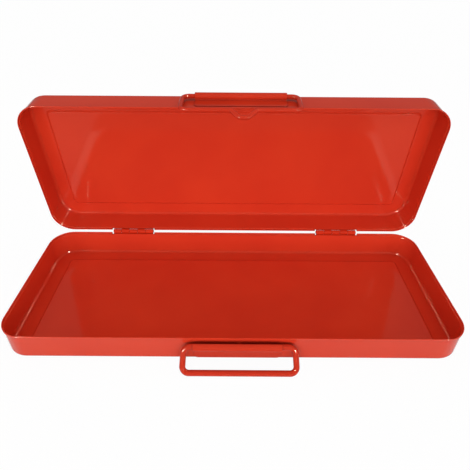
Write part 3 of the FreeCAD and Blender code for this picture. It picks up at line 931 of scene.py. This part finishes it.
class TOOLCASE_OT_trays(bpy.types.Operator):
    """Build the base tray and the lid tray"""

    bl_idname = "toolcase.trays"
    bl_label = "Trays"

    def execute(self, context):
        base = tray_mesh("base_shell", settings().tray.base_wall, None)
        finish_piece(base, "base", ["base_tray"], stove_enamel("base enamel", "trays", TRAY_WAVE_DEPTH, 0.0))
        height = settings().tray.lid_wall
        # The lid is a tray turned rim down. Mirrored in height, it keeps its hinge side at the back.
        over = Matrix.Translation((0, 0, lid_rim_z() + height)) @ Matrix.Scale(-1, 4, (0, 0, 1))
        lid = tray_mesh("lid_shell", height, opened() @ over)
        finish_piece(lid, "lid", ["lid_tray"], stove_enamel("lid enamel", "trays", TRAY_WAVE_DEPTH, 1.7))
        return {"FINISHED"}


class TOOLCASE_OT_brackets(bpy.types.Operator):
    """Build the curled brackets of the base and the lid"""

    bl_idname = "toolcase.brackets"
    bl_label = "Brackets"

    def execute(self, context):
        material = stove_enamel("bracket enamel", "brackets", STIFF_WAVE_DEPTH, 3.1)
        finish_piece(base_bracket_mesh(), "base", ["base_handle_bracket"], material)
        finish_piece(lid_bracket_mesh(), "lid", ["lid_bail_bracket"], material)
        return {"FINISHED"}


class TOOLCASE_OT_handle(bpy.types.Operator):
    """Build the carrying handle"""

    bl_idname = "toolcase.handle"
    bl_label = "Carrying handle"

    def execute(self, context):
        material = stove_enamel("handle enamel", "wires", STIFF_WAVE_DEPTH, 4.3)
        finish_piece(handle_mesh(material), "handle", ["carry_handle"], material)
        return {"FINISHED"}


class TOOLCASE_OT_bail(bpy.types.Operator):
    """Build the latch bail"""

    bl_idname = "toolcase.bail"
    bl_label = "Latch bail"

    def execute(self, context):
        material = stove_enamel("bail enamel", "wires", STIFF_WAVE_DEPTH, 5.9)
        finish_piece(bail_mesh(material), "bail", ["latch_bail"], material)
        return {"FINISHED"}


class TOOLCASE_OT_hinges(bpy.types.Operator):
    """Build the leaves and pins of both hinges"""

    bl_idname = "toolcase.hinges"
    bl_label = "Hinges"

    def execute(self, context):
        material = stove_enamel("hinge enamel", "hinges", STIFF_WAVE_DEPTH, 7.7)
        half_turn = Matrix.Rotation(math.pi, 4, "Z")
        upside_down = Matrix.Rotation(math.pi, 4, "X")
        for side, centre in hinge_centres().items():
            at_hinge = Matrix.Translation(hinge_axis() + Vector((centre, 0, 0)))
            lower = leaf_mesh(side + "_lower_leaf", 0, at_hinge @ half_turn, material)
            finish_piece(lower, "base", [side + "_hinge_base_leaf"], material)
            upper = leaf_mesh(side + "_upper_leaf", 1, opened() @ at_hinge @ upside_down, material)
            finish_piece(upper, "lid", [side + "_hinge_lid_leaf"], material)
            finish_piece(pin_mesh(side + "_pin", centre), "base", [side + "_hinge_pin"], material)
        return {"FINISHED"}


# Table, light and camera.


def area_light(name, place, target, size, power):
    lamp = bpy.data.lights.new(name, "AREA")
    lamp.shape = "RECTANGLE"
    lamp.size = size[0]
    lamp.size_y = size[1]
    lamp.energy = power
    obj = bpy.data.objects.new(name, lamp)
    obj.location = place
    obj.rotation_euler = (Vector(target) - Vector(place)).to_track_quat("-Z", "Y").to_euler()
    bpy.context.scene.collection.objects.link(obj)
    return obj


def camera_turn():
    """Rotation of the camera from its pitch, yaw and roll."""
    stage = settings().stage
    run = math.cos(stage.camera_pitch)
    forward = Vector((math.sin(stage.camera_yaw) * run, math.cos(stage.camera_yaw) * run,
                      -math.sin(stage.camera_pitch)))
    level = Vector((math.cos(stage.camera_yaw), -math.sin(stage.camera_yaw), 0))
    below = forward.cross(level)
    right = level * math.cos(stage.camera_roll) + below * math.sin(stage.camera_roll)
    down = below * math.cos(stage.camera_roll) - level * math.sin(stage.camera_roll)
    return Matrix((right, -down, -forward)).transposed()


def by_ray(tree, ray, other, chosen):
    """Shader that is chosen for one kind of ray and other for the rest."""
    path = add_node(tree, "ShaderNodeLightPath")
    mix = add_node(tree, "ShaderNodeMixShader", links={0: path.outputs[ray], 1: other, 2: chosen})
    return mix.outputs["Shader"]


def table_material():
    """White laminate: paper white to the lens, where it still takes a trace of the case's soft shadow."""
    paper_share = 0.96
    material = bpy.data.materials.new("white laminate")
    material.use_nodes = True
    tree = material.node_tree
    tree.nodes.clear()
    laminate = add_node(tree, "ShaderNodeBsdfDiffuse", {"Color": linear("#FAFAFA")}).outputs["BSDF"]
    # What lights the case from below: it gives back less than a spotless white would.
    dull = add_node(tree, "ShaderNodeBsdfDiffuse", {"Color": linear("#AEAEAE")}).outputs["BSDF"]
    paper = add_node(tree, "ShaderNodeEmission", {"Color": WHITE, "Strength": 1.0}).outputs["Emission"]
    shaded = add_node(tree, "ShaderNodeMixShader", {0: paper_share}, {1: laminate, 2: paper})
    unseen = by_ray(tree, "Is Glossy Ray", dull, laminate)
    seen = by_ray(tree, "Is Camera Ray", unseen, shaded.outputs["Shader"])
    add_node(tree, "ShaderNodeOutputMaterial", links={"Surface": seen})
    return material


def flat_sheet(name, low, high, height):
    """Rectangle lying level, between two opposite corners."""
    corners = [(low[0], low[1]), (high[0], low[1]), (high[0], high[1]), (low[0], high[1])]
    return mesh_object(name, [(x, y, height) for x, y in corners], [[0, 1, 2, 3]])


def card(name, low, high, colour):
    """Card lying on the table, seen only in the enamel, as the dark room round the table is."""
    obj = flat_sheet(name, low, high, settings().stage.card_lift)
    material = bpy.data.materials.new(name)
    material.use_nodes = True
    surface = material.node_tree.nodes["Principled BSDF"]
    surface.inputs["Base Color"].default_value = colour
    surface.inputs["Roughness"].default_value = 1.0
    obj.data.materials.append(material)
    obj.visible_camera = False
    obj.visible_diffuse = False
    obj.visible_shadow = False
    return obj


def lamps():
    """A front softbox with no reflection, and two small lamps that only glint on the bends."""
    stage = settings().stage
    front = area_light("front softbox", stage.softbox_place, (0, 0, stage.softbox_aim), stage.softbox_size,
                       stage.softbox_power)
    front.visible_glossy = False
    made = [front]
    for side, sign in (("left", -1), ("right", 1)):
        x, y, z = stage.glint_place
        glint = area_light(side + " glint", (sign * x, y, z), (0, 0, stage.glint_aim), stage.glint_size,
                           stage.glint_power)
        glint.visible_diffuse = False
        made.append(glint)
    return made


def studio_world():
    """Paper white to the lens, a dim room in the gloss, and a soft fill for everything else."""
    world = bpy.data.worlds.new("studio")
    world.use_nodes = True
    tree = world.node_tree
    tree.nodes.clear()
    skies = {}
    for name, strength in (("paper", 1.0), ("fill", 0.76), ("room", 0.2)):
        sky = add_node(tree, "ShaderNodeBackground", {"Color": WHITE, "Strength": strength})
        skies[name] = sky.outputs["Background"]
    seen = by_ray(tree, "Is Glossy Ray", skies["fill"], skies["room"])
    seen = by_ray(tree, "Is Camera Ray", seen, skies["paper"])
    add_node(tree, "ShaderNodeOutputWorld", links={"Surface": seen})
    return world


def studio_camera():
    """Camera at the photograph's place and angle."""
    stage = settings().stage
    lens = bpy.data.cameras.new("camera")
    lens.lens = stage.lens
    lens.sensor_width = stage.sensor
    lens.shift_x = stage.shift_x
    lens.shift_y = stage.shift_y
    lens.clip_start = 10 * MM
    camera = bpy.data.objects.new("camera", lens)
    camera.matrix_world = Matrix.Translation(stage.camera_place) @ camera_turn().to_4x4()
    bpy.context.scene.collection.objects.link(camera)
    return camera


class TOOLCASE_OT_stage(bpy.types.Operator):
    """Set the table, the lights and the camera"""

    bl_idname = "toolcase.stage"
    bl_label = "Stage"

    def execute(self, context):
        stage = settings().stage
        half = stage.table
        table = flat_sheet("table", (-half, -half), (half, half), 0)
        table.data.materials.append(table_material())
        side = stage.card_width / 2
        near = -stage.card_near
        far = -stage.card_far
        cards = [
            card("front card", (-side, far), (side, near), stage.dark_card),
            card("left card", (far, far), (-side, -far), stage.pale_card),
            card("right card", (side, far), (-far, -far), stage.pale_card),
        ]
        lamps()
        context.scene.world = studio_world()
        context.scene.camera = studio_camera()
        context.scene.view_settings.view_transform = "Standard"
        return {"FINISHED"}


class TOOLCASE_PT_panel(bpy.types.Panel):
    """Buttons that build the case"""

    bl_label = "Tool Case"
    bl_idname = "TOOLCASE_PT_panel"
    bl_space_type = "VIEW_3D"
    bl_region_type = "UI"
    bl_category = "Tool Case"

    def draw(self, context):
        for step in STEPS:
            self.layout.operator(step.bl_idname)


STEPS = (
    TOOLCASE_OT_trays,
    TOOLCASE_OT_brackets,
    TOOLCASE_OT_handle,
    TOOLCASE_OT_bail,
    TOOLCASE_OT_hinges,
    TOOLCASE_OT_stage,
)
GROUPS = (TraySizes, HingeSizes, BracketSizes, LoopSizes, EnamelColours, StageSizes, ToolCaseSettings)


def register():
    for group in GROUPS:
        bpy.utils.register_class(group)
    bpy.types.Scene.tool_case = PointerProperty(type=ToolCaseSettings)
    for step in STEPS:
        bpy.utils.register_class(step)
    bpy.utils.register_class(TOOLCASE_PT_panel)


def unregister():
    bpy.utils.unregister_class(TOOLCASE_PT_panel)
    for step in reversed(STEPS):
        bpy.utils.unregister_class(step)
    del bpy.types.Scene.tool_case
    for group in reversed(GROUPS):
        bpy.utils.unregister_class(group)


def main():
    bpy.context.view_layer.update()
    register()
    bpy.ops.toolcase.trays()
    bpy.ops.toolcase.brackets()
    bpy.ops.toolcase.handle()
    bpy.ops.toolcase.bail()
    bpy.ops.toolcase.hinges()
    bpy.ops.toolcase.stage()


if __name__ == "__main__":
    main()
